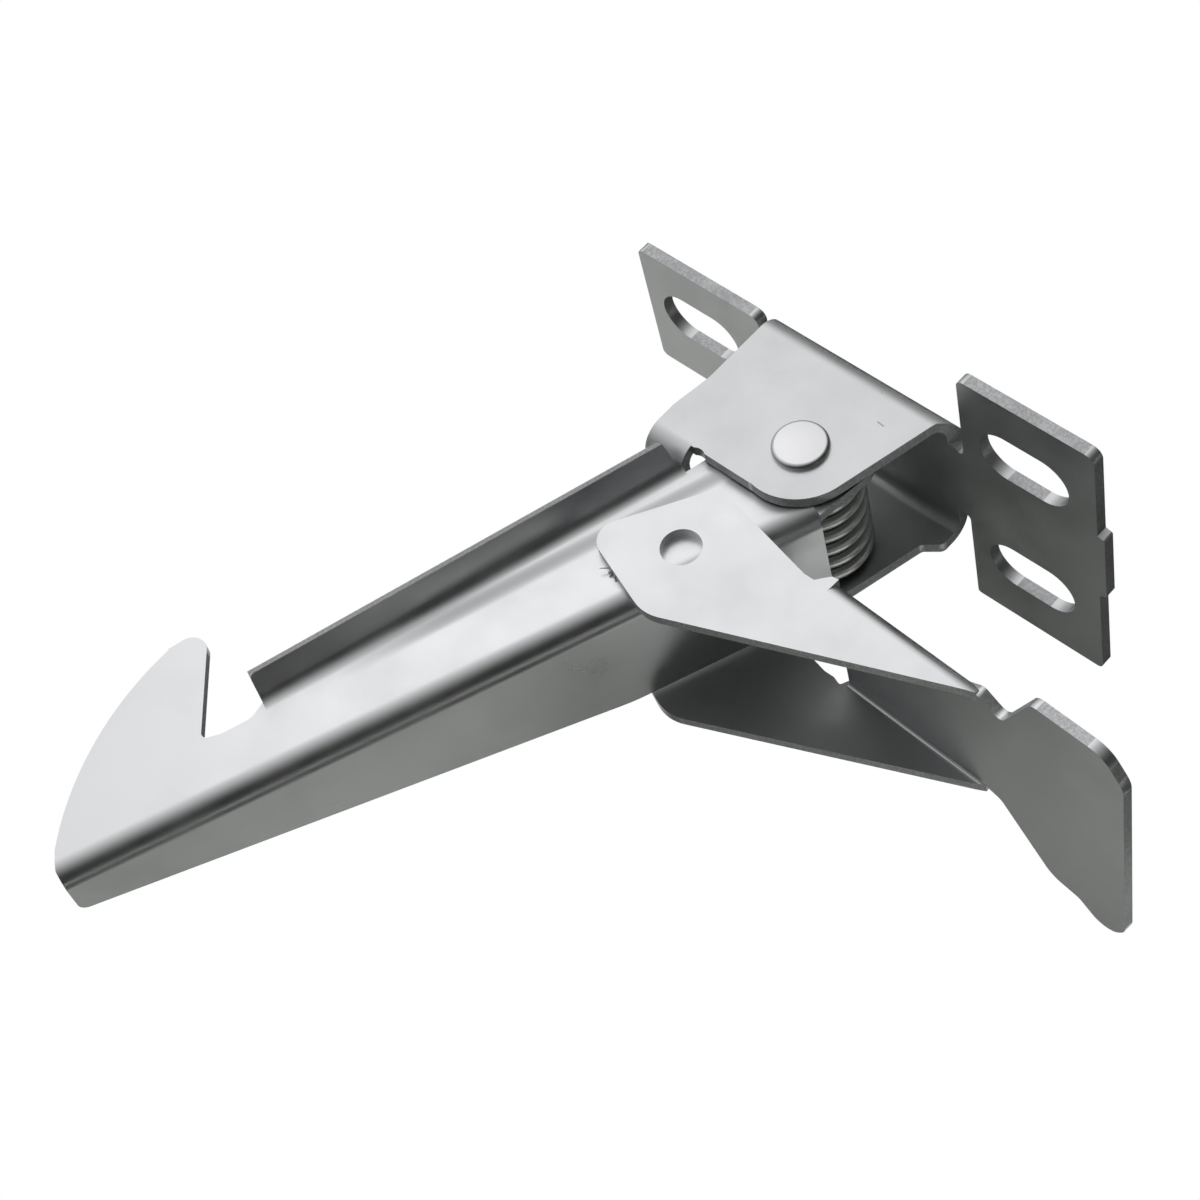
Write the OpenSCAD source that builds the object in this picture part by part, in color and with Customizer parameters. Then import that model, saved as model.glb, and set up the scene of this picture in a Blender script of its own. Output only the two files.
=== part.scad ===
// Hood safety catch: a folded bracket that bolts to the front panel, a spring-loaded
// hook arm on a rivet between the bracket's two ears, and a finger lever fixed to the arm.
// The frame: x = 0 is the mounting face, +X points to the hook, the pivot axis stands
// on y = 0, and z = 0 is half way between the ears.

/* [Bracket] */
// Thickness of the bracket's sheet
sheet_t = 1.75; // [1.5:0.25:2]
// Inner radius of the bracket's folds
fold_r = 1.75; // [1.5:0.25:2]
// Height over the two ears
ear_h = 25; // [24:0.5:28]
// Distance of the pivot axis from the mounting face
pivot_x = 15.65; // [15:0.05:18]
// Radius of the ears' rounded nose, about the pivot axis
nose_r = 8.3; // [7.5:0.1:8.5]
// Distance of the ears' straight side from the pivot axis
ear_side = 17.5; // [17:0.5:19]
// Half width of the ears' slanted side, where it meets the fold
ear_root = 11.9; // [11.5:0.1:12.2]
// Distance by which the lower ear's root flares past its slanted side
root_flare = 1.3; // [0:0.1:1.6]
// Distance by which the upper ear flares beside the stop tab
tab_flare = 0.9; // [0:0.1:1.2]

/* [Flanges] */
// Height of the tall flange, which has two slots
tall_h = 48.2; // [44:0.2:54]
// Width of the tall flange
tall_w = 21.4; // [20:0.2:26]
// Height of the short flange, which has one slot
short_h = 23.4; // [20:0.2:26]
// Width of the short flange
short_w = 22.4; // [21:0.2:26]
// Distance of the tall flange's middle below the middle of the ears
tall_drop = 0.9; // [0:0.1:1.5]
// Distance of the short flange's middle below the middle of the ears
short_drop = 1.5; // [0:0.1:2]
// Distance of the slots' middle below the middle of the ears
slot_drop = 0.5; // [0:0.1:1]
// Width of the gap between a flange and the end of an ear's fold
relief_w = 2.6; // [2:0.1:3]
// Width of the screw slots
slot_w = 8.5; // [7:0.1:9]
// Length of the screw slots, over their round ends
slot_l = 14.2; // [12:0.1:16]
// Distance between the tall flange's two slots
slot_pitch = 24.8; // [22:0.2:28]
// Height of the sheared-off carrier stub on the tall flange's edge
stub_h = 13.8; // [10:0.2:18]
// Distance by which the carrier stub stands out
stub_out = 1.1; // [0.6:0.1:1.5]

/* [Stop tab] */
// Width of the stop tab, folded down from the upper ear
tab_w = 5.5; // [5:0.1:6]
// Length of the stop tab, from the top of the ear down
tab_drop = 6.2; // [5.5:0.1:7]
// Radius of the relief in the corner between the tab and the ear
tab_relief = 1.6; // [1.2:0.1:1.8]

/* [Hook arm] */
// Thickness of the arm's sheet
arm_t = 1.5; // [1.25:0.25:1.75]
// Angle of the arm at rest, from the bracket's normal towards the short flange
arm_rest = 20.5; // [19:0.5:22]
// Length of the arm from the pivot axis to its blunt end
arm_len = 108.8; // [107:0.1:111]
// Half width of the arm at the pivot axis
arm_half_w = 9.6; // [9.5:0.1:10]
// Taper of each side of the arm, in degrees
arm_taper = 2.4; // [2:0.1:2.6]
// Outer radius of the near flange's fold
arm_fold_r = 3.2; // [2.8:0.1:4]
// Outer radius of the far flange's fold
far_fold_r = 4; // [3:0.1:5]
// Angle between the far flange and the arm's plate
far_lean = 58; // [50:1:70]
// Length of the far flange's straight part, above its fold
far_h = 3; // [2:0.1:4]
// Half width of the arm where the far flange's fold starts, at the pivot axis
far_start = 6.4; // [6:0.1:6.7]
// Depth of the near flange at the arm's end
near_h_tip = 8.1; // [7:0.1:9]
// Slope of the near flange's lower edge, in degrees
near_slope = 9.4; // [9:0.1:10]
// Radius of the arm's end about the pivot axis
arm_end_r = 9.4; // [9:0.1:9.8]
// Play between the upper ear and the arm
arm_play = 0.35; // [0.2:0.05:0.5]

/* [Hook] */
// Distance from the pivot axis to the mouth's edge, along the arm
mouth_u = 76.3; // [75:0.1:78]
// Width of the mouth at its floor
mouth_w = 9.1; // [8.5:0.1:10]
// Radius of the hook's outer curve
hook_r = 44.3; // [43:0.1:46]
// Reach of the beak's point from the arm's centre line
beak_reach = 17.4; // [16:0.1:18]
// Radius of the beak's point
beak_r = 2.3; // [2:0.1:2.6]

/* [Finger lever] */
// Thickness of the lever's sheet
lever_t = 1.5; // [1.25:0.25:1.75]
// Height over the lever's two plates
lever_h = 24.9; // [24:0.1:25]
// Distance of the lever's web from the pivot axis
web_p = 11.7; // [11.5:0.1:12.5]
// Length of the lever's plates from the pivot axis, along the web
plate_q = 41.4; // [40:0.2:43]
// Distance of the lever's outer edge from the pivot axis
plate_p = 31.1; // [30:0.1:33]
// Length from the pivot axis to the end of the finger tab
finger_q = 64.2; // [62:0.2:66]
// Height of the finger tab's top above the top plate
finger_up = 6.6; // [5:0.2:8]
// Depth of the finger tab's end below the top plate
finger_down = 39.8; // [37:0.2:42]
// Diameter of the locating hole in the top plate
hole_d = 5.6; // [5:0.1:6]

/* [Pivot] */
// Diameter of the rivet's shank
rivet_d = 5; // [4.5:0.1:5.2]
// Diameter of the rivet's head
head_d = 7.8; // [7.5:0.1:8.6]
// Height of the rivet's domed head
head_h = 1.1; // [0.9:0.1:1.6]
// Diameter of the bush's neck, which is the arm's bearing
neck_d = 7; // [6.8:0.1:7.2]
// Diameter of the bush below the arm
bush_d = 8.6; // [8.4:0.1:9]
// Play of the arm on the bush's neck, in radius
bearing_play = 0.05; // [0.03:0.01:0.08]

/* [Spring] */
// Diameter of the spring's wire
wire_d = 2.6; // [2.2:0.1:2.7]
// Mean radius of the spring's turns
coil_r = 6.25; // [6.1:0.05:6.3]
// Play above and below the spring's turns
spring_play = 0.7; // [0.5:0.05:0.9]

/* [Hidden] */
$fn = 64;
big = 200;
// Overlap of bodies that are joined, and depth of cuts past a face
lap = 0.01;
arc_steps = 8;

// Heights of the surfaces, from the middle of the ears
ear_top = ear_h / 2;
ear_under = ear_top - sheet_t;
arm_top = ear_under - arm_play;
arm_under = arm_top - arm_t;
lever_top = arm_top + lever_t;
lever_under = lever_top - lever_h;

// Bracket
fold_out = fold_r + sheet_t;
tall_y = ear_root + relief_w + 0.7;
short_y = ear_side + relief_w;
relief_z = ear_top - 4.8;
slot_tall_y = tall_y + tall_w * 0.47;
slot_short_y = short_y + short_w * 0.555;
// The flares at the ears' roots: where the lower one starts, and how far the upper one reaches
flare_start = [7.3, 10.75];
upper_flare = 2.2;
// The stop tab's outer face and inner side, and the front of the ears' nose
tab_face = pivot_x + 10.9;
tab_side = ear_side - tab_w;
ear_front = pivot_x + nose_r - 0.1;

// Arm, with u along its centre line and v across it towards the tall flange
taper = tan(arm_taper);
// Corner where the near flange starts, and the angle at which the rounded end stops short of it
near_start = [2.7, 9.4];
arm_end_edge = 128;
// Where the far flange starts along the arm, and the height of its straight part's top edge
far_side_u = 14.2;
near_low = -ear_under + 0.5;
far_top = arm_under + far_fold_r * (1 - cos(far_lean)) + far_h * sin(far_lean)
    + arm_t * cos(far_lean) + 0.05;
stop_gap = 0.1;
// The hook's outer curve and the beak, whose point lies a little inside that curve
hook_c = [arm_len - hook_r + 4.7, 22.3];
beak_inset = 0.95;
beak_c = [
    hook_c[0] + sqrt(pow(hook_r - beak_r, 2) - pow(beak_reach + hook_c[1], 2)) - beak_inset,
    -beak_reach
];
mouth_v = -3.6;
mouth_end = mouth_u + mouth_w;
leg_hole = [14, 3.5];
leg_hole_d = wire_d + 0.3;

// Lever, with q along its web and p across it
lever_turn = 17.6 - arm_rest;
lever_out_r = lever_t + 0.8;
web_q = 17.6;
hole_p = 20.8;
hole_q = -1.5;

// Spring
coil_top = arm_under - spring_play - wire_d / 2;
coil_low = -ear_under + spring_play + wire_d / 2;
// Least gap between two turns, which sets how many fit
turn_gap = 0.35;
coil_turns = floor((coil_top - coil_low) / (wire_d + turn_gap));
// Holes for the spring's legs: in the arm, and in the lower ear beside the bush
leg_low_hole = [-8, -7];
leg_bend_r = 1.6;
wire_sides = 10;
turn_steps = 32;

// Plane geometry
function unit(a) = a / norm(a);
function turned(a, angle) = [a[0] * cos(angle) - a[1] * sin(angle), a[0] * sin(angle) + a[1] * cos(angle)];
function arc(centre, r, from, to, steps = arc_steps) =
    [for (i = [0 : steps]) let (a = from + (to - from) * i / steps) centre + r * [cos(a), sin(a)]];
// The points of a corner at b with radius r, coming from a and going to c
function corner(a, b, c, r) =
    let (
        to_a = unit(a - b),
        to_c = unit(c - b),
        half = acos(to_a * to_c) / 2,
        centre = b + unit(to_a + to_c) * r / sin(half),
        start = b + to_a * r / tan(half) - centre,
        end = b + to_c * r / tan(half) - centre,
        from = atan2(start[1], start[0]),
        sweep = atan2(start[0] * end[1] - start[1] * end[0], start * end)
    )
    r == 0 ? [b] : arc(centre, r, from, from + sweep);
// An outline from points [x, y, r], where r rounds the corner
function rounded(points) =
    let (n = len(points), at = [for (p = points) [p[0], p[1]]])
    [for (i = [0 : n - 1]) each corner(at[(i + n - 1) % n], at[i], at[(i + 1) % n], points[i][2])];

module rounded_polygon(points) {
    polygon(rounded(points));
}

// A plate of thickness t that stands along Y, drawn in the YZ plane
module standing(t) {
    rotate([90, 0, 90]) linear_extrude(t) children();
}

// A section drawn in the XZ plane, run along Y from y0 to y1
module run_y(y0, y1) {
    translate([0, y1, 0]) rotate([90, 0, 0]) linear_extrude(y1 - y0) children();
}

// A quarter ring in the quadrant that faces the signs sx and sy
module quarter(r_in, r_out, sx, sy) {
    intersection() {
        difference() {
            circle(r_out);
            circle(r_in);
        }
        translate([sx > 0 ? 0 : -r_out, sy > 0 ? 0 : -r_out]) square(r_out);
    }
}

// Section of the bracket's channel: the web with an ear at its top and at its bottom
module channel_section(reach) {
    translate([0, -ear_top + fold_out]) square([sheet_t, ear_h - 2 * fold_out]);
    for (s = [-1, 1]) {
        translate([fold_out, s * (ear_top - fold_out)]) quarter(fold_r, fold_out, -1, s);
        translate([fold_out, s > 0 ? ear_under : -ear_top]) square([reach - fold_out, sheet_t]);
    }
}

// Plan of an ear, with its nose about the pivot axis
module ear_plan(front) {
    difference() {
        polygon(concat(
            [[0, -ear_side]],
            corner([0, -ear_side], [front - 9, -ear_side], [front - 3, -ear_side - tab_flare], 8),
            corner(
                [front - 9, -ear_side], [front - 3, -ear_side - tab_flare],
                [front, -ear_side - tab_flare], 4
            ),
            [[front, -ear_side - tab_flare], [front, -tab_side], [ear_front, -tab_side]],
            [[ear_front, -2]],
            arc([pivot_x, 0], nose_r, -10, 78, 16),
            [[sheet_t + 0.8, ear_root], [0, ear_root + upper_flare]]
        ));
        translate([ear_front + tab_relief - 0.3, -tab_side + tab_relief - 0.1]) circle(tab_relief);
    }
}

module lower_ear_plan() {
    polygon(concat(
        rounded([[0, -ear_side, 0], [ear_front, -ear_side, 4], [ear_front, -2, 0]]),
        arc([pivot_x, 0], nose_r, -10, 78, 16),
        corner([pivot_x, nose_r + 1], flare_start, [5.5, ear_root + root_flare], 1),
        corner(flare_start, [5.5, ear_root + root_flare], [0, ear_root + root_flare], 1.2),
        [[0, ear_root + root_flare]]
    ));
}

module slot() {
    for (s = [-1, 1]) {
        translate([s * (slot_l - slot_w) / 2, 0, -lap]) cylinder(h = sheet_t + 2 * lap, d = slot_w);
    }
    translate([-(slot_l - slot_w) / 2, -slot_w / 2, -lap])
        cube([slot_l - slot_w, slot_w, sheet_t + 2 * lap]);
}

module flange_plates() {
    standing(sheet_t) difference() {
        union() {
            translate([tall_y, -tall_drop]) rounded_polygon([
                [0, -tall_h / 2, 0.5], [tall_w, -tall_h / 2, 1],
                [tall_w, tall_h / 2, 1.5], [0, tall_h / 2, 1.2]
            ]);
            translate([tall_y + tall_w - lap, -stub_h / 2]) rounded_polygon([
                [0, 0, 0], [stub_out, 0.6, 0.3], [stub_out, stub_h - 0.3, 0.3], [0, stub_h, 0]
            ]);
            translate([-short_y, -short_drop]) rounded_polygon([
                [0, -short_h / 2, 0], [0, short_h / 2, 1.5],
                [-short_w, short_h / 2, 1], [-short_w, -short_h / 2, 1]
            ]);
            // The web's ends, past the ears' folds
            translate([-short_y - lap, -relief_z]) square([short_y + tall_y + 2 * lap, 2 * relief_z]);
        }
        for (s = [-1, 1]) {
            width = tall_y - ear_root - (s < 0 ? root_flare : upper_flare);
            translate([tall_y - width / 2, s * relief_z]) circle(width / 2);
            translate([-short_y + relief_w / 2, s * relief_z]) circle(relief_w / 2);
        }
    }
}

module stop_tab() {
    // Folded down from the upper ear's front
    run_y(-ear_side - tab_flare, -tab_side) {
        translate([tab_face - fold_out, ear_top - fold_out]) quarter(fold_r, fold_out, 1, 1);
        translate([tab_face - sheet_t, ear_top - tab_drop])
            square([sheet_t, tab_drop - fold_out]);
    }
}

module bracket() {
    color([0.72, 0.73, 0.74]) difference() {
        union() {
            flange_plates();
            intersection() {
                run_y(-ear_side - tab_flare, ear_root + upper_flare) channel_section(tab_face);
                union() {
                    translate([0, 0, -ear_top]) linear_extrude(ear_top) lower_ear_plan();
                    linear_extrude(ear_top) ear_plan(tab_face - fold_out);
                }
            }
            stop_tab();
        }
        translate([pivot_x, 0, -ear_top - lap]) {
            cylinder(h = ear_h + 2 * lap, d = rivet_d);
            translate(leg_low_hole) cylinder(h = sheet_t + 2 * lap, d = leg_hole_d);
        }
        for (s = [-1, 1]) {
            translate([0, slot_tall_y, s * slot_pitch / 2 - slot_drop]) rotate([90, 0, 90]) slot();
        }
        translate([0, -slot_short_y, -slot_drop]) rotate([90, 0, 90]) slot();
    }
}

module in_arm_frame() {
    translate([pivot_x, 0, 0]) rotate(-arm_rest) children();
}

// Distance across the arm at u of a line that lies inset inside a tapered line
function side_v(u, start, inset = 0) = start - inset / cos(arm_taper) - taper * u;

// Plan of what stays flat: the plate up to its folds, the hook and the rounded end. It
// runs over the folds' ends and one unit into their flat strips.
module flat_plan() {
    near = side_v(0, arm_half_w, arm_fold_r + 1);
    polygon(concat(
        arc([0, 0], arm_end_r, 240, arm_end_edge, 20),
        [near_start, [near_start[0], near]],
        [[arm_len, side_v(arm_len, arm_half_w, arm_fold_r + 1)], [arm_len, 0], [arm_len + 3, -3]],
        [[arm_len + 3, -beak_reach]],
        arc(beak_c, beak_r, -80, -212, 12),
        corner(beak_c, [mouth_end, mouth_v - 0.6], [mouth_u + 6.8, mouth_v + 0.1], 0.8),
        corner(
            [mouth_end, mouth_v - 0.6], [mouth_u + 6.6, mouth_v + 0.1],
            [mouth_u + 2.6, mouth_v + 0.1], 4
        ),
        corner(
            [mouth_u + 6.6, mouth_v + 0.1], [mouth_u + 2.4, mouth_v + 0.1],
            [mouth_u + 0.2, mouth_v - 1.2], 2.2
        ),
        [[mouth_u + 0.2, mouth_v - 1.2], [mouth_u - 0.5, mouth_v - 1.4]],
        [[mouth_u - 0.5, -side_v(mouth_u, far_start, 1)], [far_side_u, -side_v(far_side_u, far_start, 1)]],
        [[far_side_u, -6.4]]
    ));
}

// What the hook's outer curve cuts away
module past_hook() {
    polygon(concat(
        arc(hook_c, hook_r, -70, -29.3, 24),
        [[arm_len + 0.1, 3.6], [arm_len + 9, 3.6], [arm_len + 9, -50], [hook_c[0], -50]]
    ));
}

// Section of a side of the arm, with its fold starting at x = 0: a flat strip, the fold
// and its straight part, all bent up. The strip runs two units towards the plate.
module side_section(r, angle, length) {
    translate([-2, 0]) square([2 + lap, arm_t]);
    polygon(concat(arc([0, r], r, -90, angle - 90), arc([0, r], r - arm_t, angle - 90, -90)));
    translate([0, r]) rotate(angle) translate([-lap, -r]) square([length + lap, arm_t]);
}

// A side of the arm along its tapered line. Its strip lies a hair's breadth off the
// plate, so that they cross cleanly.
module arm_side(s, up, start) {
    level = up > 0 ? arm_under + lap : arm_top - lap;
    rotate(-s * arm_taper) translate([0, s * start * cos(arm_taper), level])
        rotate([90, 0, 90]) linear_extrude(arm_len + 2)
            mirror([s < 0 ? 1 : 0, 0]) mirror([0, up < 0 ? 1 : 0]) children();
}

// Side view of the near flange, drawn in u and z
module near_outline() {
    low_tip = arm_top - near_h_tip;
    low_u = arm_len - (low_tip - near_low) / tan(near_slope);
    rounded_polygon([
        [near_start[0], near_low, 1], [low_u, near_low, 20], [arm_len, low_tip, 1.5],
        [arm_len, arm_top + 1, 0], [near_start[0], arm_top + 1, 0]
    ]);
}

module far_outline() {
    rounded_polygon([
        [14, arm_under - 1, 0], [14, far_top, 0], [mouth_u + 0.1, far_top, 0.8],
        [mouth_u + 0.2, arm_under - 1, 0]
    ]);
}

module hook_arm() {
    near_full = arm_top - near_low;
    color([0.78, 0.79, 0.81]) difference() {
        in_arm_frame() union() {
            translate([0, 0, arm_under]) linear_extrude(arm_t) flat_plan();
            intersection() {
                arm_side(1, -1, arm_half_w - arm_fold_r / cos(arm_taper))
                    side_section(arm_fold_r, 90, near_full);
                translate([0, big / 2, 0]) rotate([90, 0, 0]) linear_extrude(big) near_outline();
            }
            intersection() {
                arm_side(-1, 1, far_start) side_section(far_fold_r, far_lean, far_h);
                translate([0, big / 2, 0]) rotate([90, 0, 0]) linear_extrude(big) far_outline();
            }
        }
        in_arm_frame() translate([0, 0, arm_under - 1]) linear_extrude(arm_t + 2) past_hook();
        // The far side ends just short of the stop tab
        translate([tab_face + stop_gap - big, -big / 2 - 8.5, arm_under - 1])
            cube([big, big / 2 - 3.1, big]);
        in_arm_frame() translate([0, 0, arm_under - lap]) {
            cylinder(h = arm_t + 2 * lap, d = neck_d + 2 * bearing_play);
            translate(leg_hole) cylinder(h = arm_t + 2 * lap, d = leg_hole_d);
        }
    }
}

module in_lever_frame() {
    translate([pivot_x, 0, 0]) rotate(lever_turn) children();
}

// Plan of a plate of the lever: extra widens its outer edge
function plate_points(extra, notch) = [
    [plate_p + extra, 1.8, 6], [26.8, -13.2, 3], [11, -4.1, 1.6], [13.8, 13.6, 0.6],
    [web_p + 2, 15.2, 0.4], [web_p + notch, 16.6, 0.4], [web_p, 17.6, 0], [web_p, plate_q, 0],
    [web_p + lever_t, plate_q, 0]
];

module lever_plate_plan(extra, notch) {
    rounded_polygon(plate_points(extra, notch));
}

// Section of the lever's channel, open towards +p, with its web at web_p
module lever_section() {
    mid = (lever_top + lever_under) / 2;
    reach = plate_p + 4 - web_p;
    half = lever_h / 2;
    translate([web_p, mid - half + lever_out_r]) square([lever_t, lever_h - 2 * lever_out_r]);
    for (s = [-1, 1]) {
        translate([web_p + lever_out_r, mid + s * (half - lever_out_r)])
            quarter(lever_out_r - lever_t, lever_out_r, -1, s);
        translate([web_p + lever_out_r, s > 0 ? lever_top - lever_t : lever_under])
            square([reach, lever_t]);
    }
}

// The finger tab and the web's end, drawn in q and z
module finger_outline() {
    top = lever_top;
    rounded_polygon([
        [plate_q - 3, top - lever_out_r, 0], [plate_q + 0.2, top - 0.4, 1], [plate_q + 3.9, top - 3, 1.2],
        [plate_q + 9, top + finger_up, 1.6], [finger_q - 3, top + finger_up, 4], [finger_q, top + 2, 4],
        [finger_q - 0.5, top - finger_down + 4, 3], [finger_q - 3.5, top - finger_down, 3],
        [finger_q - 8, top - finger_down + 4, 2], [finger_q - 12.5, top - finger_down + 4.8, 4],
        [plate_q + 2.4, top - lever_h + 0.8, 2], [plate_q - 3, top - lever_h + lever_out_r, 0]
    ]);
}

module finger_lever() {
    color([0.8, 0.81, 0.83]) in_lever_frame() difference() {
        union() {
            intersection() {
                union() {
                    run_y(web_q, plate_q + 1) lever_section();
                    translate([0, -30, lever_top - lever_t]) cube([60, 30 + web_q + lap, lever_t]);
                    translate([0, -30, lever_under]) cube([60, 30 + web_q + lap, lever_t]);
                }
                union() {
                    linear_extrude(big) lever_plate_plan(0, 0.2);
                    translate([0, 0, -big + lap]) linear_extrude(big) lever_plate_plan(1.3, 2.4);
                }
            }
            translate([web_p, 0, 0]) standing(lever_t) finger_outline();
        }
        translate([hole_p, hole_q, lever_top - lever_t - lap]) cylinder(h = lever_t + 2 * lap, d = hole_d);
    }
}

module pivot_rivet() {
    tail_h = 1.4;
    color([0.86, 0.86, 0.87]) translate([pivot_x, 0, 0]) {
        translate([0, 0, -ear_top - tail_h]) cylinder(h = ear_h + tail_h + head_h / 2, d = rivet_d);
        translate([0, 0, ear_top]) rotate_extrude() polygon(concat(
            [[0, 0], [head_d / 2, 0]],
            corner([head_d / 2, 0], [head_d / 2, head_h - 0.2], [0, head_h], 0.6),
            [[0, head_h]]
        ));
        translate([0, 0, -ear_top - tail_h]) cylinder(h = tail_h, d = head_d - 0.6);
    }
}

module spacer_bush() {
    color([0.66, 0.66, 0.66]) translate([pivot_x, 0, -ear_under]) difference() {
        union() {
            cylinder(h = 2 * ear_under, d = neck_d);
            cylinder(h = arm_under - 0.1 + ear_under, d = bush_d);
        }
        translate([0, 0, -lap]) cylinder(h = 2 * ear_under + 2 * lap, d = rivet_d);
    }
}

// The spring's centre line, about the pivot axis: its legs' ends are bent up into the arm's
// hole and down into the lower ear's
function tangent_angle(point, side) = atan2(point[1], point[0]) + side * acos(coil_r / norm(point));
function leg_bend(hole, away, level, up) =
    [for (i = up > 0 ? [0 : 4] : [4 : -1 : 0]) let (a = 90 * i / 4, out = leg_bend_r * (1 - cos(a))) [
        hole[0] + away[0] * out, hole[1] + away[1] * out, level + up * leg_bend_r * (1 - sin(a))
    ]];
function spring_path() =
    let (
        hole = turned(leg_hole, -arm_rest),
        from = tangent_angle(hole, 1),
        to = tangent_angle(leg_low_hole, -1) + 360,
        sweep = 360 * coil_turns + to - from,
        steps = ceil(turn_steps * sweep / 360),
        start = coil_r * [cos(from), sin(from)],
        end = coil_r * [cos(to), sin(to)]
    )
    concat(
        [[hole[0], hole[1], arm_top - 0.2]],
        leg_bend(hole, unit(start - hole), coil_top, 1),
        [for (i = [0 : steps]) let (a = from + sweep * i / steps) [
            coil_r * cos(a), coil_r * sin(a), coil_top + (coil_low - coil_top) * i / steps
        ]],
        leg_bend(leg_low_hole, unit(end - leg_low_hole), coil_low, -1),
        [[leg_low_hole[0], leg_low_hole[1], -ear_top + 0.2]]
    );

// A round wire along a path, as rings that stay square to it
module wire(path, d) {
    n = len(path);
    along = [for (i = [0 : n - 1]) unit(path[min(i + 1, n - 1)] - path[max(i - 1, 0)])];
    rings = [for (i = [0 : n - 1])
        let (
            leg = i < n / 2 ? path[6] - path[0] : path[n - 1] - path[n - 7],
            side = unit(cross(along[i], abs(along[i][2]) > 0.9 ? leg : [0, 0, 1])),
            up = cross(side, along[i])
        )
        [for (k = [0 : wire_sides - 1]) let (a = 360 * k / wire_sides)
            path[i] + d / 2 * (cos(a) * side + sin(a) * up)]];
    polyhedron(
        points = [for (ring = rings) each ring],
        faces = concat(
            [[for (k = [0 : wire_sides - 1]) k]],
            [for (i = [0 : n - 2]) for (k = [0 : wire_sides - 1]) let (next = (k + 1) % wire_sides)
                [i * wire_sides + k, (i + 1) * wire_sides + k,
                    (i + 1) * wire_sides + next, i * wire_sides + next]],
            [[for (k = [wire_sides - 1 : -1 : 0]) (n - 1) * wire_sides + k]]
        )
    );
}

module return_spring() {
    color([0.6, 0.61, 0.6]) translate([pivot_x, 0, 0]) wire(spring_path(), wire_d);
}

bracket();
hook_arm();
finger_lever();
pivot_rivet();
spacer_bush();
return_spring();
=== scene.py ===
"""Hood safety catch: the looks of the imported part, with its camera, lamp and stage."""

import math

import bmesh
import bpy
from bpy.props import FloatProperty, FloatVectorProperty, PointerProperty
from mathutils import Euler, Matrix, Vector


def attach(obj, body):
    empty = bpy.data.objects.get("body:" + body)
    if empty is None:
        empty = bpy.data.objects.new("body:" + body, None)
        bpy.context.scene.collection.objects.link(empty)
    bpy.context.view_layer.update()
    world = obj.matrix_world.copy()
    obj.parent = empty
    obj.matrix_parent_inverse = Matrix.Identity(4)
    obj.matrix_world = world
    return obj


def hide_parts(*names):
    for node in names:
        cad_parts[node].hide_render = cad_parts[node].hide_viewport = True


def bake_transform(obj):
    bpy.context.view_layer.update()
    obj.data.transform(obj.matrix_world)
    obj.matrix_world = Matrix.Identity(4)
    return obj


bl_info = {
    "name": "Hood Safety Catch",
    "version": (1, 0, 0),
    "blender": (4, 5, 0),
    "location": "3D View > Sidebar > Catch",
    "description": "Dresses the hood safety catch and sets up its stage",
    "category": "Object",
}

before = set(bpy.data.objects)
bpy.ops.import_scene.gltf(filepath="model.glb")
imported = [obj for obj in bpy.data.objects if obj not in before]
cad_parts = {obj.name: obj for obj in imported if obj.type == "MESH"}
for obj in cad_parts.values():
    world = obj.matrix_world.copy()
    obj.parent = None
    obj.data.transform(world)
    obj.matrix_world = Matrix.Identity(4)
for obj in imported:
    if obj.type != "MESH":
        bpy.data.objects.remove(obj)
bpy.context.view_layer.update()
MM = 0.001
# The pivot axis in the part's frame, and the turn of the arm's own frame about it
PIVOT = Vector((15.65 * MM, 0, 0))
ARM_TURN = math.radians(-20.5)

# Roughness, strength of the grain and depth of the dark pits of each finish
FINISHES = {
    "Bracket Zinc": (0.4, 1, 0),
    "Bracket Edge": (0.55, 4, 0.35),
    "Arm Zinc": (0.34, 1, 0),
    "Arm Edge": (0.55, 4, 0.35),
    "Lever Zinc": (0.38, 1, 0),
    "Lever Edge": (0.55, 4, 0.35),
    # A darker, rougher copy of the lever's finish that paints shade on its channel's floor
    "Lever Shaded Floor": (0.5, 1, 0),
    "Rivet Zinc": (0.3, 0.3, 0),
    "Bush Steel": (0.4, 1, 0),
    "Spring Zinc": (0.34, 0, 0),
}
RIVET_TONE = (0.64, 0.64, 0.65)
BUSH_TONE = (0.45, 0.45, 0.46)
# The painted shade on the floor of the lever's channel, as a share of the plate's brightness
CHANNEL_SHADE_SHARE = 0.45
# Clouds in the plate: their scale, the shares of the colour on their dark and bright side
# and the places of both on the noise, then the places of the glossiest and the roughest
# spots on it, and how far these go from the finish's roughness
CLOUD_SCALE = 90
CLOUD_SHARES = (0.93, 1.04)
CLOUD_PLACES = (0.3, 0.72)
GLOSS_PLACES = (0.3, 0.7)
GLOSS_SPREAD = 0.08
# The fine grain: its scale, its places on the noise, its strength and its height
GRAIN_SCALE = 2600
GRAIN_PLACES = (0.35, 0.7)
GRAIN_STRENGTH = 0.12
GRAIN_HEIGHT = 0.02 * MM

# Scratches on the upper ear's face and the weld's dent on the lever's plate, as
# (start, end, width) in millimetres
EAR_SCRATCHES = (
    ((6.8, 5.6, 12.5), (6.9, 6.6, 12.5), 0.17),
    ((2.6, 2.5, 12.5), (2.9, 3.1, 12.5), 0.12),
)
SCRATCH_TONE = (0.55, 0.55, 0.55, 1)
WELD_DENTS = (((30.4, -1.5, 11.9), (30.4, -1.5, 11.9), 2.6),)
DENT_DEPTH = 0.08 * MM
# The share of a stroke's width that is full, inside its soft rim
STROKE_CORE = 0.3
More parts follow.
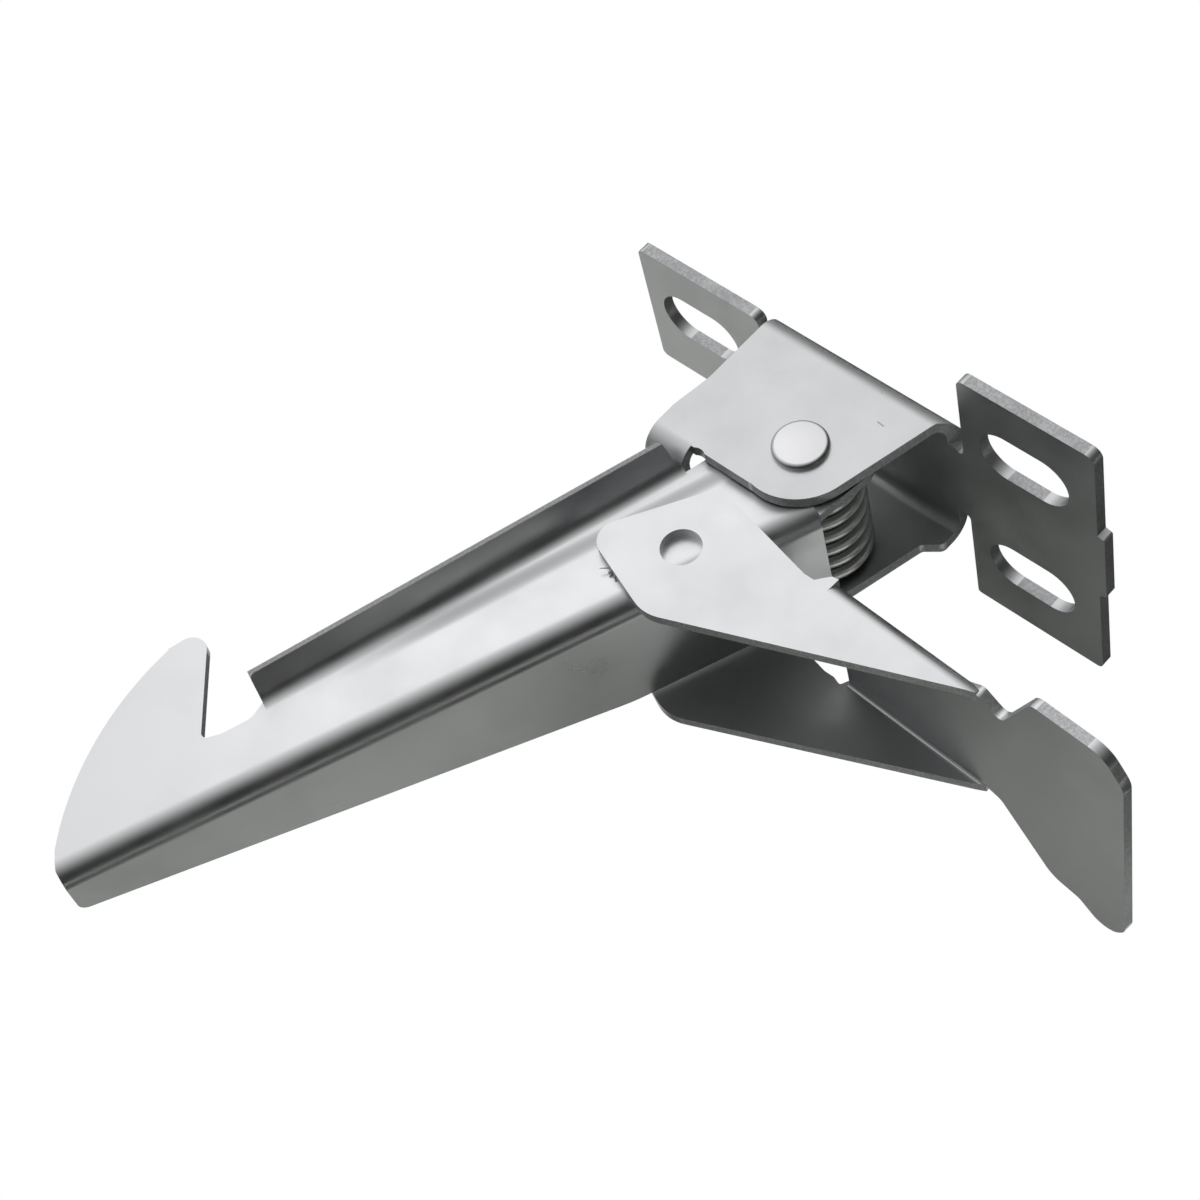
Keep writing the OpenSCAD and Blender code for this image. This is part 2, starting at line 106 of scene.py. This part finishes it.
# Burrs that stand out of the lever's sheared edge, as (start, end, radius) in millimetres,
# and the share of the radius that is left at the end
BURRS = (
    ((43.6, -8.1, 11.0), (44.8, -9.3, 11.3), 0.13),
    ((43.7, -7.9, 10.8), (44.5, -8.1, 10.9), 0.42),
    ((44.0, -7.1, 10.8), (44.6, -7.0, 10.8), 0.4),
)
BURR_TAPER = 0.3

# Where the arm bows: a direction, the distances along it in millimetres at which the bow
# starts and ends, its steepest slope, and whether it is a crease, steepest in its middle,
# and not a bow that grows up to its end. The far fold, and the crease that runs beside it.
BOWS = (
    ((-0.3107, -0.9504, 0), 1.0, 11.8, 0.6, False),
    ((-0.3502, -0.9367, 0), 1.8, 4.8, 0.26, True),
)
ALONG_ARM = (0.9367, -0.3502, 0)
# Distances along the arm, in millimetres, between which the bows fade out
FADE_START, FADE_END = 45, 76

# A face whose sharp edges lie one of these gauges apart is a sheared edge of the sheet
SHEET_GAUGES = (1.5 * MM, 1.75 * MM)
GAUGE_PLAY = 0.25
# The least share of a sheared face's outline that is sharp
SHARP_SHARE = 0.3
# Edges steeper than this are sharp
SHARP = math.radians(33)
# Edges steeper than this stay sharp in the shading of a piece with broken edges
BROKEN_SHARP = math.radians(50)
# Weight of the large faces in the shading of the sheets' normals
FACE_WEIGHT = 80
# Points closer than this are one, shorter edges go, and flatter edges join their faces
WELD_GAP = 0.02 * MM
SHORT_EDGE = 0.005 * MM
FLAT = math.radians(0.6)
# The least upward part of the normal of a channel's floor
UPWARD = 0.9

# The spring's centre line, in millimetres about the pivot axis
WIRE_D = 2.6
COIL_R = 6.25
COIL_TOP = 6.9
COIL_LOW = -8.75
COIL_TURNS = 5
LEG_HOLE = (14.0, 3.5)
LEG_TOP = 10.2
LEG_LOW_HOLE = (-8.0, -7.0)
LEG_BOTTOM = -12.3
LEG_BEND = 1.6
# The chamfer of the wire's ends, as a share of its radius
WIRE_CHAMFER = 0.12
# Distances from the pivot axis between which the painted shade in the gaps between the
# spring's turns fades out, and the tone of that painted shade
COIL_GAP_SHADE = (6.7, 7.35, 0.12)

# The photo's camera, in millimetres and degrees, from a fit to the photo
CAMERA_PLACE = (147.75, 155.23, 282.29)
CAMERA_TURN = (33.5495, 10.4057, 133.0875)
# Place, target, size and watts of the soft lamp
TOP_BOX = ((-0.5, -0.45, 0.85), (0, 0, 0), (0.9, 0.9), 1.2)
FLOOR_SIZE = (8, 8)
PAPER_TONE = (0.8, 0.8, 0.8, 1)
WHITE = (1, 1, 1, 1)
# Brightness of the studio, from the side away from its big window (0) to the window (1).
# The two ends come first
WINDOW = (-0.05, -0.6, 0.8)
SKY = (
    (0, 0.08),
    (1, 1.08),
    (0.45, 0.03),
    (0.56, 0.04),
    (0.72, 0.26),
    (0.86, 0.58),
    (0.95, 0.8),
)
# The studio's dark side is a little green
DIM = 0.3
DIM_TINT = (0.96, 1.0, 0.93)
# Cards under the catch that only its reflections see: a dark table, and pale cards that
# lift the left flange, the finger tab, the arm's near flange and the spring. Name, centre,
# width and depth in metres, grey level and glow of each
CARDS = (
    ("base_card", (0, 0, -0.125), (1.6, 1.6), 0.11, 0),
    ("left_card", (0.08, -0.165, -0.12), (0.3, 0.2), 0.75, 0.16),
    ("tab_card", (0.09, 0.008, -0.121), (0.05, 0.05), 0.6, 0.1),
    ("front_card", (0.17, 0.062, -0.12), (0.18, 0.1), 0.8, 0.03),
    ("coil_card", (0.035, 0.1, -0.1), (0.08, 0.06), 0.8, 0.45),
)
CARD_ROUGHNESS = 0.9


class FinishSettings(bpy.types.PropertyGroup):
    """Colours and finish of the plated sheet"""

    bracket_colour: FloatVectorProperty(
        name="Bracket Colour",
        description="Colour of the bracket's zinc plate",
        subtype="COLOR",
        size=3,
        min=0,
        max=1,
        default=(0.59, 0.6, 0.61),
    )
    arm_colour: FloatVectorProperty(
        name="Arm Colour",
        description="Colour of the zinc plate of the hook arm and the finger lever",
        subtype="COLOR",
        size=3,
        min=0,
        max=1,
        default=(0.68, 0.685, 0.7),
    )
    spring_colour: FloatVectorProperty(
        name="Spring Colour",
        description="Colour of the plated spring wire",
        subtype="COLOR",
        size=3,
        min=0,
        max=1,
        default=(0.85, 0.86, 0.83),
    )
    edge_round: FloatProperty(
        name="Edge Rounding",
        description="Width by which the sheared edges are broken",
        subtype="DISTANCE",
        min=0,
        default=0.14 * MM,
    )


class StudioSettings(bpy.types.PropertyGroup):
    """Camera and floor"""

    lens: FloatProperty(
        name="Lens",
        description="Focal length of the camera",
        subtype="DISTANCE_CAMERA",
        min=10,
        default=78.03,
    )
    floor_drop: FloatProperty(
        name="Floor Drop",
        description="Distance of the floor below the catch, which hangs clear of it",
        subtype="DISTANCE",
        min=0,
        default=0.35,
    )


def node(tree, kind, place, **values):
    """A new node, with values for its inputs and settings"""
    made = tree.nodes.new(kind)
    made.location = place
    for name, value in values.items():
        if name in made.inputs:
            made.inputs[name].default_value = value
        else:
            setattr(made, name, value)
    return made


def feed(tree, source, socket):
    """Links the source to the socket, or sets it as the socket's value"""
    if isinstance(source, bpy.types.NodeSocket):
        tree.links.new(source, socket)
    else:
        socket.default_value = source


def maths(tree, place, operation, first, second):
    made = node(tree, "ShaderNodeMath", place, operation=operation)
    feed(tree, first, made.inputs[0])
    feed(tree, second, made.inputs[1])
    return made.outputs[0]


def vector_maths(tree, place, operation, first, second=(0, 0, 0)):
    made = node(tree, "ShaderNodeVectorMath", place, operation=operation)
    feed(tree, first, made.inputs[0])
    feed(tree, second, made.inputs[1])
    scalar = operation in ("DOT_PRODUCT", "DISTANCE", "LENGTH")
    return made.outputs["Value" if scalar else "Vector"]


def mapped(tree, place, value, ends, to_ends=(0, 1), smooth=False):
    """The value's way from one end to the other, held at both, laid on two other ends"""
    made = node(tree, "ShaderNodeMapRange", place, clamp=True)
    made.interpolation_type = "SMOOTHSTEP" if smooth else "LINEAR"
    made.inputs["From Min"].default_value, made.inputs["From Max"].default_value = ends
    made.inputs["To Min"].default_value, made.inputs["To Max"].default_value = to_ends
    tree.links.new(value, made.inputs["Value"])
    return made.outputs["Result"]


def multiplied(tree, place, tone, by, share=1):
    """A colour multiplied by another one, in full or in part"""
    made = node(tree, "ShaderNodeMix", place, data_type="RGBA", blend_type="MULTIPLY")
    feed(tree, share, made.inputs["Factor"])
    feed(tree, tone, made.inputs["A"])
    feed(tree, by, made.inputs["B"])
    return made.outputs["Result"]


def stroke_mask(tree, where, strokes):
    """1 on each stroke, given as (start, end, width) in millimetres, and 0 past its soft rim"""
    combined = None
    for row, (start, end, width) in enumerate(strokes):
        start, end = Vector(start) * MM, Vector(end) * MM
        length = (end - start).length
        direction = (end - start).normalized() if length else (0, 0, 0)
        low = -500 - 220 * row
        from_start = vector_maths(tree, (-700, low), "SUBTRACT", where, start)
        along = vector_maths(tree, (-540, low), "DOT_PRODUCT", from_start, direction)
        held = maths(tree, (-380, low), "MINIMUM", along, length)
        held = maths(tree, (-220, low), "MAXIMUM", held, 0)
        nearest = vector_maths(tree, (-60, low), "MULTIPLY", held, direction)
        gap = vector_maths(tree, (100, low), "DISTANCE", from_start, nearest)
        mask = mapped(tree, (260, low), gap, (width * MM, STROKE_CORE * width * MM))
        if combined is None:
            combined = mask
        else:
            combined = maths(tree, (420, low), "MAXIMUM", combined, mask)
    return combined


def bowed(tree, where, surface, bow):
    """Bends the shading near a soft fold, more and more from a start to an end, which are
    distances from the pivot axis along a direction"""
    direction, start, end, slope, crease = bow
    low = 700 + 260 * BOWS.index(bow)
    power = 1 if crease else 3
    # How much steeper the curve is at its steepest than the straight line between its ends
    steepness = 1.5 if crease else 3
    from_pivot = vector_maths(tree, (100, low), "SUBTRACT", where, PIVOT)
    along = vector_maths(tree, (260, low), "DOT_PRODUCT", from_pivot, direction)
    part = mapped(tree, (420, low), along, (start * MM, end * MM), smooth=crease)
    height = maths(tree, (580, low), "POWER", part, power)
    along_arm = vector_maths(tree, (260, low - 130), "DOT_PRODUCT", from_pivot, ALONG_ARM)
    left = mapped(tree, (420, low - 130), along_arm, (FADE_END * MM, FADE_START * MM), smooth=True)
    height = maths(tree, (740, low - 130), "MULTIPLY", height, left)
    reach = slope * (end - start) / steepness * MM
    bump = node(tree, "ShaderNodeBump", (900, low), Strength=1, Distance=reach)
    tree.links.new(height, bump.inputs["Height"])
    tree.links.new(surface, bump.inputs["Normal"])
    return bump.outputs["Normal"]


def coil_gap_shade(tree, where, inner, outer, tone):
    """Painted shade in the gaps between turns: a tone up to the inner distance from the pivot
    axis, in millimetres, and 1 past the outer one"""
    from_pivot = vector_maths(tree, (-700, 900), "SUBTRACT", where, PIVOT)
    level = vector_maths(tree, (-540, 900), "MULTIPLY", from_pivot, (1, 1, 0))
    radius = vector_maths(tree, (-380, 900), "LENGTH", level)
    return mapped(tree, (-220, 900), radius, (inner * MM, outer * MM), (tone, 1), smooth=True)


def plated_steel(name, colour, gap_shade=None, scratches=(), dents=(), bows=()):
    """Zinc plate on rolled sheet: fine grain, cloudy gloss, scratches and weld dents"""
    roughness, grain, pitting = FINISHES[name]
    made = bpy.data.materials.get(name) or bpy.data.materials.new(name)
    made.use_nodes = True
    tree = made.node_tree
    tree.nodes.clear()
    out = node(tree, "ShaderNodeOutputMaterial", (1400, 0))
    shader = node(tree, "ShaderNodeBsdfPrincipled", (1100, 0), Metallic=1)
    tree.links.new(shader.outputs["BSDF"], out.inputs["Surface"])
    where = node(tree, "ShaderNodeTexCoord", (-900, 0)).outputs["Object"]
    cloud = node(
        tree, "ShaderNodeTexNoise", (-600, 200), Scale=CLOUD_SCALE, Detail=4, Roughness=0.6
    )
    fine = node(
        tree, "ShaderNodeTexNoise", (-600, -200), Scale=GRAIN_SCALE, Detail=3, Roughness=0.7
    )
    for texture in (cloud, fine):
        tree.links.new(where, texture.inputs["Vector"])

    tint = node(tree, "ShaderNodeValToRGB", (-300, 300))
    for stop, place, share in zip(tint.color_ramp.elements, CLOUD_PLACES, CLOUD_SHARES):
        stop.position = place
        stop.color = (*[min(1, c * share) for c in colour], 1)
    tree.links.new(cloud.outputs["Fac"], tint.inputs["Fac"])
    pits = mapped(tree, (-300, -100), fine.outputs["Fac"], GRAIN_PLACES, (1 - pitting, 1))
    tone = multiplied(tree, (0, 200), tint.outputs["Color"], pits)
    # Painted shade in the gaps between the spring's turns
    if gap_shade:
        tone = multiplied(tree, (300, 400), tone, coil_gap_shade(tree, where, *gap_shade))
    if scratches:
        scored = stroke_mask(tree, where, scratches)
        tone = multiplied(tree, (700, 200), tone, SCRATCH_TONE, scored)
    tree.links.new(tone, shader.inputs["Base Color"])

    gloss_ends = (roughness - GLOSS_SPREAD, roughness + GLOSS_SPREAD)
    gloss = mapped(tree, (0, -100), cloud.outputs["Fac"], GLOSS_PLACES, gloss_ends)
    tree.links.new(gloss, shader.inputs["Roughness"])

    strength = GRAIN_STRENGTH * grain
    bump = node(tree, "ShaderNodeBump", (300, -300), Strength=strength, Distance=GRAIN_HEIGHT)
    tree.links.new(fine.outputs["Fac"], bump.inputs["Height"])
    surface = bump.outputs["Normal"]
    if dents:
        dent = node(tree, "ShaderNodeBump", (700, -300), Strength=1, Distance=DENT_DEPTH)
        dent.invert = True
        tree.links.new(stroke_mask(tree, where, dents), dent.inputs["Height"])
        tree.links.new(surface, dent.inputs["Normal"])
        surface = dent.outputs["Normal"]
    for bow in bows:
        surface = bowed(tree, where, surface, bow)
    tree.links.new(surface, shader.inputs["Normal"])
    return made


def merged_copy(cad_node):
    """A bmesh of the CAD node's shape, with its loose triangles joined into flat faces"""
    mesh = bmesh.new()
    mesh.from_mesh(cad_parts[cad_node].data)
    bmesh.ops.remove_doubles(mesh, verts=mesh.verts, dist=WELD_GAP)
    bmesh.ops.dissolve_degenerate(mesh, edges=mesh.edges, dist=SHORT_EDGE)
    bmesh.ops.dissolve_limit(mesh, angle_limit=FLAT, verts=mesh.verts, edges=mesh.edges)
    return mesh


def new_piece(name, mesh, sharp_angle, finishes):
    """A smooth object at the origin, made from a bmesh, which is used up"""
    for face in mesh.faces:
        face.smooth = True
    data = bpy.data.meshes.new(name)
    mesh.to_mesh(data)
    mesh.free()
    data.set_sharp_from_angle(angle=sharp_angle)
    for finish in finishes:
        data.materials.append(finish)
    piece = bpy.data.objects.new(name, data)
    bpy.context.scene.collection.objects.link(piece)
    return piece


def is_sharp(edge):
    return len(edge.link_faces) == 2 and edge.calc_face_angle() > SHARP


def is_sheared(face):
    sharp_length = sum(e.calc_length() for e in face.edges if is_sharp(e))
    if sharp_length < SHARP_SHARE * face.calc_perimeter():
        return False
    width = 2 * face.calc_area() / sharp_length
    return any(abs(width - gauge) < GAUGE_PLAY * gauge for gauge in SHEET_GAUGES)


def is_floor(face):
    """Whether the face is the upper side of a plate below the middle of the catch"""
    return face.normal.z > UPWARD and face.calc_center_median().z < 0


def add_burr(mesh, start, end, radius):
    """A thin sliver of sheared metal, pointed at its end"""
    start, end = Vector(start) * MM, Vector(end) * MM
    along = end - start
    turn = along.to_track_quat("Z", "Y").to_matrix().to_4x4()
    made = bmesh.ops.create_cone(
        mesh,
        cap_ends=True,
        segments=6,
        radius1=radius * MM,
        radius2=BURR_TAPER * radius * MM,
        depth=along.length,
        matrix=Matrix.Translation((start + end) / 2) @ turn,
    )
    for face in {face for vert in made["verts"] for face in vert.link_faces}:
        face.material_index = 1


def sheet_piece(name, cad_node, body, faces, edges, edge_round, floor=None, burrs=()):
    """The folded sheet of a CAD node with broken edges, a second finish where it is sheared,
    and a third, a darker copy that paints shade, on the floor of its channel"""
    mesh = merged_copy(cad_node)
    for face in mesh.faces:
        # Faces of a channel's floor take the finish with painted shade
        face.material_index = 1 if is_sheared(face) else 2 if floor and is_floor(face) else 0
    bmesh.ops.bevel(
        mesh,
        geom=[e for e in mesh.edges if is_sharp(e)],
        offset=edge_round,
        offset_type="OFFSET",
        segments=2,
        profile=0.5,
        affect="EDGES",
        clamp_overlap=True,
        material=-1,
    )
    for burr in burrs:
        add_burr(mesh, *burr)
    finishes = (faces, edges, floor) if floor else (faces, edges)
    piece = new_piece(name, mesh, BROKEN_SHARP, finishes)
    weighted = piece.modifiers.new("Flat Faces", "WEIGHTED_NORMAL")
    weighted.keep_sharp = True
    weighted.weight = FACE_WEIGHT
    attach(piece, body)
    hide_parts(cad_node)
    return piece


def round_piece(name, cad_node, finish):
    """A turned piece of the pivot, with smooth rounds"""
    piece = new_piece(name, merged_copy(cad_node), SHARP, (finish,))
    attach(piece, "bracket")
    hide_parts(cad_node)
    return piece


class CATCH_OT_bracket(bpy.types.Operator):
    """Dress the folded bracket"""

    bl_idname = "catch.bracket"
    bl_label = "Bracket"

    def execute(self, context):
        finish = context.scene.catch_finish
        sheet_piece(
            "bracket_sheet",
            "bracket",
            "bracket",
            plated_steel("Bracket Zinc", finish.bracket_colour, scratches=EAR_SCRATCHES),
            plated_steel("Bracket Edge", finish.bracket_colour),
            finish.edge_round,
        )
        return {"FINISHED"}


class CATCH_OT_hook_arm(bpy.types.Operator):
    """Dress the hook arm"""

    bl_idname = "catch.hook_arm"
    bl_label = "Hook Arm"

    def execute(self, context):
        finish = context.scene.catch_finish
        sheet_piece(
            "hook_arm_sheet",
            "hook_arm",
            "catch",
            plated_steel("Arm Zinc", finish.arm_colour, bows=BOWS),
            plated_steel("Arm Edge", finish.arm_colour),
            finish.edge_round,
        )
        return {"FINISHED"}


class CATCH_OT_finger_lever(bpy.types.Operator):
    """Dress the finger lever"""

    bl_idname = "catch.finger_lever"
    bl_label = "Finger Lever"

    def execute(self, context):
        finish = context.scene.catch_finish
        sheet_piece(
            "finger_lever_sheet",
            "finger_lever",
            "catch",
            plated_steel("Lever Zinc", finish.arm_colour, dents=WELD_DENTS),
            plated_steel("Lever Edge", finish.arm_colour),
            finish.edge_round,
            # The floor of the lever's channel: the plate's colour darkened to paint the shade that
            # falls there
            plated_steel("Lever Shaded Floor", [c * CHANNEL_SHADE_SHARE for c in finish.arm_colour]),
            BURRS,
        )
        return {"FINISHED"}


class CATCH_OT_pivot(bpy.types.Operator):
    """Dress the rivet and the bush"""

    bl_idname = "catch.pivot"
    bl_label = "Pivot"

    def execute(self, context):
        rivet = plated_steel("Rivet Zinc", RIVET_TONE)
        round_piece("pivot_rivet_body", "pivot_rivet", rivet)
        bush = plated_steel("Bush Steel", BUSH_TONE)
        round_piece("spacer_bush_body", "spacer_bush", bush)
        return {"FINISHED"}


def tangent_angle(point, side):
    """Angle at which a straight leg from the point touches the coil"""
    return math.atan2(point[1], point[0]) + side * math.acos(COIL_R / math.hypot(*point))


def leg_bend(hole, touch, up, steps=10):
    """Points of a leg's bend, from its upright end over the hole to its level part"""
    level = touch.z
    away = Vector((touch.x - hole.x, touch.y - hole.y, 0)).normalized()
    points = []
    for i in range(steps + 1):
        a = math.pi / 2 * i / steps
        out = hole + away * LEG_BEND * (1 - math.cos(a))
        points.append(Vector((out.x, out.y, level + up * LEG_BEND * (1 - math.sin(a)))))
    return points


def spring_route(steps_per_turn=56):
    """Centre line of the wire, from its end in the arm down to its end in the lower ear"""
    hole = Vector((*LEG_HOLE, 0))
    hole.rotate(Euler((0, 0, ARM_TURN)))
    low_hole = Vector((*LEG_LOW_HOLE, 0))
    start = tangent_angle(hole.xy, 1)
    end = tangent_angle(LEG_LOW_HOLE, -1) + 2 * math.pi
    sweep = 2 * math.pi * COIL_TURNS + end - start
    steps = math.ceil(steps_per_turn * sweep / (2 * math.pi))
    coil = []
    for i in range(steps + 1):
        a = start + sweep * i / steps
        height = COIL_TOP + (COIL_LOW - COIL_TOP) * i / steps
        coil.append(Vector((COIL_R * math.cos(a), COIL_R * math.sin(a), height)))
    upper = leg_bend(hole, coil[0], 1)
    lower = leg_bend(low_hole, coil[-1], -1)
    top = hole + Vector((0, 0, LEG_TOP))
    bottom = low_hole + Vector((0, 0, LEG_BOTTOM))
    return [PIVOT + point * MM for point in (top, *upper, *coil, *reversed(lower), bottom)]


def wire_mesh(route, radius, sides=20):
    """A bmesh of a round wire along the route, its ends cut square with a small chamfer"""
    mesh = bmesh.new()
    turns = [2 * math.pi * k / sides for k in range(sides)]
    rings = []
    side = None
    for i, point in enumerate(route):
        along = (route[min(i + 1, len(route) - 1)] - route[max(i - 1, 0)]).normalized()
        if side is None:
            side = along.orthogonal().normalized()
        side = (side - along * side.dot(along)).normalized()
        up = along.cross(side)
        ring = [point + radius * (math.cos(a) * side + math.sin(a) * up) for a in turns]
        rings.append([mesh.verts.new(place) for place in ring])
    for low, high in zip(rings, rings[1:]):
        for k in range(sides):
            after = (k + 1) % sides
            mesh.faces.new((low[k], low[after], high[after], high[k]))
    ends = [mesh.faces.new(reversed(rings[0])), mesh.faces.new(rings[-1])]
    bmesh.ops.recalc_face_normals(mesh, faces=mesh.faces)
    rims = {edge for face in ends for edge in face.edges}
    bmesh.ops.bevel(
        mesh,
        geom=list(rims),
        offset=WIRE_CHAMFER * radius,
        segments=2,
        profile=0.5,
        affect="EDGES",
        clamp_overlap=True,
    )
    return mesh


class CATCH_OT_spring(bpy.types.Operator):
    """Wind the return spring, which twists between the bracket and the arm"""

    bl_idname = "catch.spring"
    bl_label = "Return Spring"

    def execute(self, context):
        finish = context.scene.catch_finish
        # The wire's finish paints shade into the gaps between its turns
        zinc = plated_steel("Spring Zinc", finish.spring_colour, gap_shade=COIL_GAP_SHADE)
        wire = wire_mesh(spring_route(), WIRE_D / 2 * MM)
        piece = new_piece("spring_wire", wire, BROKEN_SHARP, (zinc,))
        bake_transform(piece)
        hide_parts("return_spring")
        return {"FINISHED"}


def card_colour(name, colour, glow):
    made = bpy.data.materials.new(name)
    made.use_nodes = True
    shader = made.node_tree.nodes["Principled BSDF"]
    shader.inputs["Base Color"].default_value = (*colour, 1)
    shader.inputs["Roughness"].default_value = CARD_ROUGHNESS
    shader.inputs["Emission Color"].default_value = WHITE
    shader.inputs["Emission Strength"].default_value = glow
    return made


def white_paper():
    """Paper that looks white itself and in reflections, and lights the catch as paper does"""
    made = bpy.data.materials.new("White Floor")
    made.use_nodes = True
    tree = made.node_tree
    tree.nodes.clear()
    out = node(tree, "ShaderNodeOutputMaterial", (600, 0))
    path = node(tree, "ShaderNodeLightPath", (-400, 200)).outputs
    seen = maths(tree, (-200, 200), "MAXIMUM", path["Is Camera Ray"], path["Is Glossy Ray"])
    seen = maths(tree, (0, 200), "MAXIMUM", seen, path["Is Transmission Ray"])
    paper = node(tree, "ShaderNodeBsdfDiffuse", (0, -100), Color=PAPER_TONE)
    glow = node(tree, "ShaderNodeEmission", (0, 0), Color=WHITE, Strength=1)
    mixed = node(tree, "ShaderNodeMixShader", (300, 0))
    for source, socket in zip((seen, paper.outputs[0], glow.outputs[0]), mixed.inputs):
        tree.links.new(source, socket)
    tree.links.new(mixed.outputs[0], out.inputs["Surface"])
    return made


def stage_plane(name, centre, size, material):
    """A level sheet of the stage, which isn't part of the catch"""
    mesh = bmesh.new()
    bmesh.ops.create_grid(mesh, x_segments=1, y_segments=1, size=0.5)
    data = bpy.data.meshes.new(name)
    mesh.to_mesh(data)
    mesh.free()
    data.materials.append(material)
    made = bpy.data.objects.new(name, data)
    made.scale = (*size, 1)
    made.location = centre
    bpy.context.scene.collection.objects.link(made)
    return made


def soft_lamp(name, place, target, size, watts):
    data = bpy.data.lights.new(name, "AREA")
    data.shape = "RECTANGLE"
    data.size, data.size_y = size
    data.energy = watts
    lamp = bpy.data.objects.new(name, data)
    lamp.location = place
    lamp.rotation_euler = (Vector(target) - Vector(place)).to_track_quat("-Z", "Y").to_euler()
    bpy.context.scene.collection.objects.link(lamp)


def studio_world():
    """A dark studio with one big window"""
    world = bpy.data.worlds.new("Studio")
    world.use_nodes = True
    tree = world.node_tree
    where = node(tree, "ShaderNodeTexCoord", (-900, 0))
    facing = vector_maths(tree, (-700, 0), "DOT_PRODUCT", where.outputs["Generated"], WINDOW)
    ramp = node(tree, "ShaderNodeValToRGB", (-300, 0))
    tree.links.new(mapped(tree, (-500, 0), facing, (-1, 1)), ramp.inputs["Fac"])
    stops = ramp.color_ramp.elements
    for place, level in SKY:
        stop = stops[place] if place in (0, 1) else stops.new(place)
        tint = DIM_TINT if level < DIM else (1, 1, 1)
        stop.color = (*[level * share for share in tint], 1)
    tree.links.new(ramp.outputs["Color"], tree.nodes["Background"].inputs["Color"])
    return world


class CATCH_OT_stage(bpy.types.Operator):
    """Set up the camera, the lamp, the floor and the cards"""

    bl_idname = "catch.stage"
    bl_label = "Stage"

    def execute(self, context):
        scene = context.scene
        studio = scene.catch_studio
        data = bpy.data.cameras.new("Camera")
        data.lens = studio.lens
        data.clip_start, data.clip_end = 0.01, 20
        camera = bpy.data.objects.new("Camera", data)
        camera.location = [c * MM for c in CAMERA_PLACE]
        camera.rotation_euler = [math.radians(a) for a in CAMERA_TURN]
        scene.collection.objects.link(camera)
        scene.camera = camera

        stage_plane("floor", (0, 0, -studio.floor_drop), FLOOR_SIZE, white_paper())
        for name, centre, size, level, glow in CARDS:
            colour = [level * share for share in DIM_TINT]
            card = stage_plane(name, centre, size, card_colour(name, colour, glow))
            card.visible_camera = False
            card.visible_shadow = False
        soft_lamp("top_box", *TOP_BOX)
        scene.world = studio_world()
        scene.view_settings.view_transform = "Standard"
        return {"FINISHED"}


class CATCH_PT_panel(bpy.types.Panel):
    """Settings and steps of the hood safety catch"""

    bl_idname = "CATCH_PT_panel"
    bl_label = "Hood Safety Catch"
    bl_space_type = "VIEW_3D"
    bl_region_type = "UI"
    bl_category = "Catch"

    def draw(self, context):
        layout = self.layout
        for group in (context.scene.catch_finish, context.scene.catch_studio):
            box = layout.box()
            for name in group.__annotations__:
                box.prop(group, name)
        for step in STEPS:
            layout.operator(step.bl_idname)


STEPS = (
    CATCH_OT_bracket,
    CATCH_OT_hook_arm,
    CATCH_OT_finger_lever,
    CATCH_OT_pivot,
    CATCH_OT_spring,
    CATCH_OT_stage,
)
CLASSES = (FinishSettings, StudioSettings, *STEPS, CATCH_PT_panel)


def register():
    for cls in CLASSES:
        bpy.utils.register_class(cls)
    bpy.types.Scene.catch_finish = PointerProperty(type=FinishSettings)
    bpy.types.Scene.catch_studio = PointerProperty(type=StudioSettings)


def unregister():
    del bpy.types.Scene.catch_studio
    del bpy.types.Scene.catch_finish
    for cls in reversed(CLASSES):
        bpy.utils.unregister_class(cls)


def main():
    register()
    bpy.ops.catch.bracket()
    bpy.ops.catch.hook_arm()
    bpy.ops.catch.finger_lever()
    bpy.ops.catch.pivot()
    bpy.ops.catch.spring()
    bpy.ops.catch.stage()


if __name__ == "__main__":
    main()
